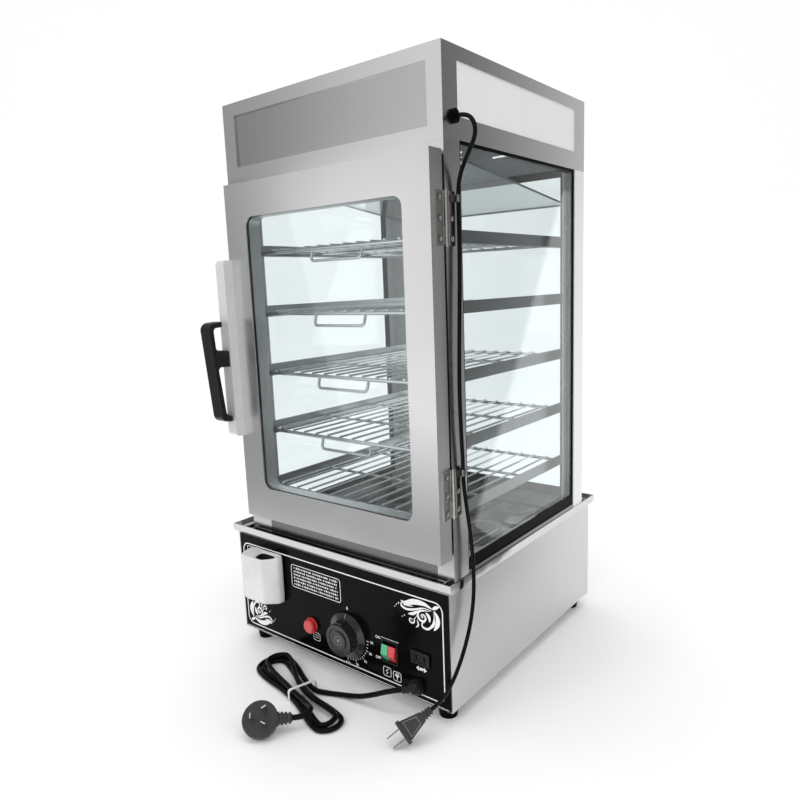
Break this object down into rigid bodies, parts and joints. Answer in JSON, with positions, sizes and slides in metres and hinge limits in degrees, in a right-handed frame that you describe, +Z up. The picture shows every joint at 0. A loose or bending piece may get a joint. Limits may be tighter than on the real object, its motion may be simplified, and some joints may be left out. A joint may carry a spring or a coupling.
{
  "type": "bun steamer display cabinet",
  "caption": "Countertop glass steamer cabinet: heated water base with control panel, drip tray, glazed case with lift-out wire racks, hinged glass door and light box.",
  "frame": {"origin": "middle of the machine's footprint without its cords, on the table under the feet", "axes": "+Z up, the longest way; -Y out through the door and control panel; +X to the viewer's right, where the door's hinges are"},
  "size_m": [0.4484, 0.6052, 0.8142],
  "materials": {
    "stainless": "satin stainless sheet",
    "polished": "bright plated steel",
    "panel_black": "gloss black coated plate with printed marks",
    "black_plastic": "moulded black plastic",
    "black_rubber": "soft black rubber",
    "green_plastic": "translucent green",
    "red_plastic": "translucent red",
    "white_plastic": "white moulded plastic",
    "glass": "clear tempered glass"
  },
  "bodies": {
    "cabinet": {"base_shell": "stainless", "base_plate": "stainless", "drip_tray": "stainless", "water_pan": "stainless", "front_left_post": "stainless", "front_right_post": "stainless", "rear_left_post": "stainless", "rear_right_post": "stainless", "sill_rails": "stainless", "header_shell": "stainless", "left_rack_rails": "stainless", "right_rack_rails": "stainless", "heating_element": "stainless", "drip_gutter": "polished", "hinge_frame_leaves": "polished", "hinge_pins": "polished", "hinge_frame_screws": "polished", "power_plug_pins": "polished", "lamp_plug_blades": "polished", "cord_clips": "polished", "control_panel": "panel_black", "thermostat": "black_plastic", "switch_housing": "black_plastic", "outlet": "black_plastic", "power_gland": "black_plastic", "feet": "black_rubber", "grommet": "black_rubber", "pane_seals": "black_rubber", "lamp_cord": "black_rubber", "power_cord": "black_rubber", "cord_hank": "black_rubber", "plug_tail": "black_rubber", "power_plug": "black_rubber", "lamp_plug": "black_rubber", "indicator_lamp": "red_plastic", "filler_cup": "white_plastic", "header_sign": "white_plastic", "header_lights": "white_plastic", "header_lamp": "white_plastic", "cord_tie": "white_plastic", "side_glass": "glass", "back_glass": "glass", "condensate_plate": "glass"},
    "door": {"door_skin": "stainless", "door_glass": "glass", "door_inner": "stainless", "door_seal": "black_rubber", "handle_strip": "stainless", "door_handle": "black_plastic", "hinge_door_leaves": "polished", "hinge_door_screws": "polished"},
    "knob": {"thermostat_knob": "black_plastic"},
    "green_switch": {"green_rocker": "green_plastic"},
    "red_switch": {"red_rocker": "red_plastic"},
    "rack_1_body": {"rack_1": "polished"},
    "rack_2_body": {"rack_2": "polished"},
    "rack_3_body": {"rack_3": "polished"},
    "rack_4_body": {"rack_4": "polished"},
    "rack_5_body": {"rack_5": "polished"}
  },
  "joints": [
    {"name": "door_hinge", "type": "hinge", "parent": "cabinet", "child": "door", "pos_m": [0.20735, -0.1741, 0.46], "axis": [0, 0, 1], "range_deg": [0, 135]},
    {"name": "knob_turn", "type": "hinge", "parent": "cabinet", "child": "knob", "pos_m": [0.03175, -0.1876, 0.0742], "axis": [0, 1, 0], "range_deg": [0, 180]},
    {"name": "green_rock", "type": "hinge", "parent": "cabinet", "child": "green_switch", "pos_m": [0.10218, -0.1816, 0.073], "axis": [-1, 0, 0], "range_deg": [0, 20]},
    {"name": "red_rock", "type": "hinge", "parent": "cabinet", "child": "red_switch", "pos_m": [0.11393, -0.1816, 0.073], "axis": [-1, 0, 0], "range_deg": [0, 20]},
    {"name": "rack_1_lift", "type": "slide", "parent": "cabinet", "child": "rack_1_body", "axis": [0, 0, 1], "range_m": [0, 0.045]},
    {"name": "rack_2_lift", "type": "slide", "parent": "cabinet", "child": "rack_2_body", "axis": [0, 0, 1], "range_m": [0, 0.045]},
    {"name": "rack_3_lift", "type": "slide", "parent": "cabinet", "child": "rack_3_body", "axis": [0, 0, 1], "range_m": [0, 0.045]},
    {"name": "rack_4_lift", "type": "slide", "parent": "cabinet", "child": "rack_4_body", "axis": [0, 0, 1], "range_m": [0, 0.045]},
    {"name": "rack_5_lift", "type": "slide", "parent": "cabinet", "child": "rack_5_body", "axis": [0, 0, 1], "range_m": [0, 0.045]}
  ]
}
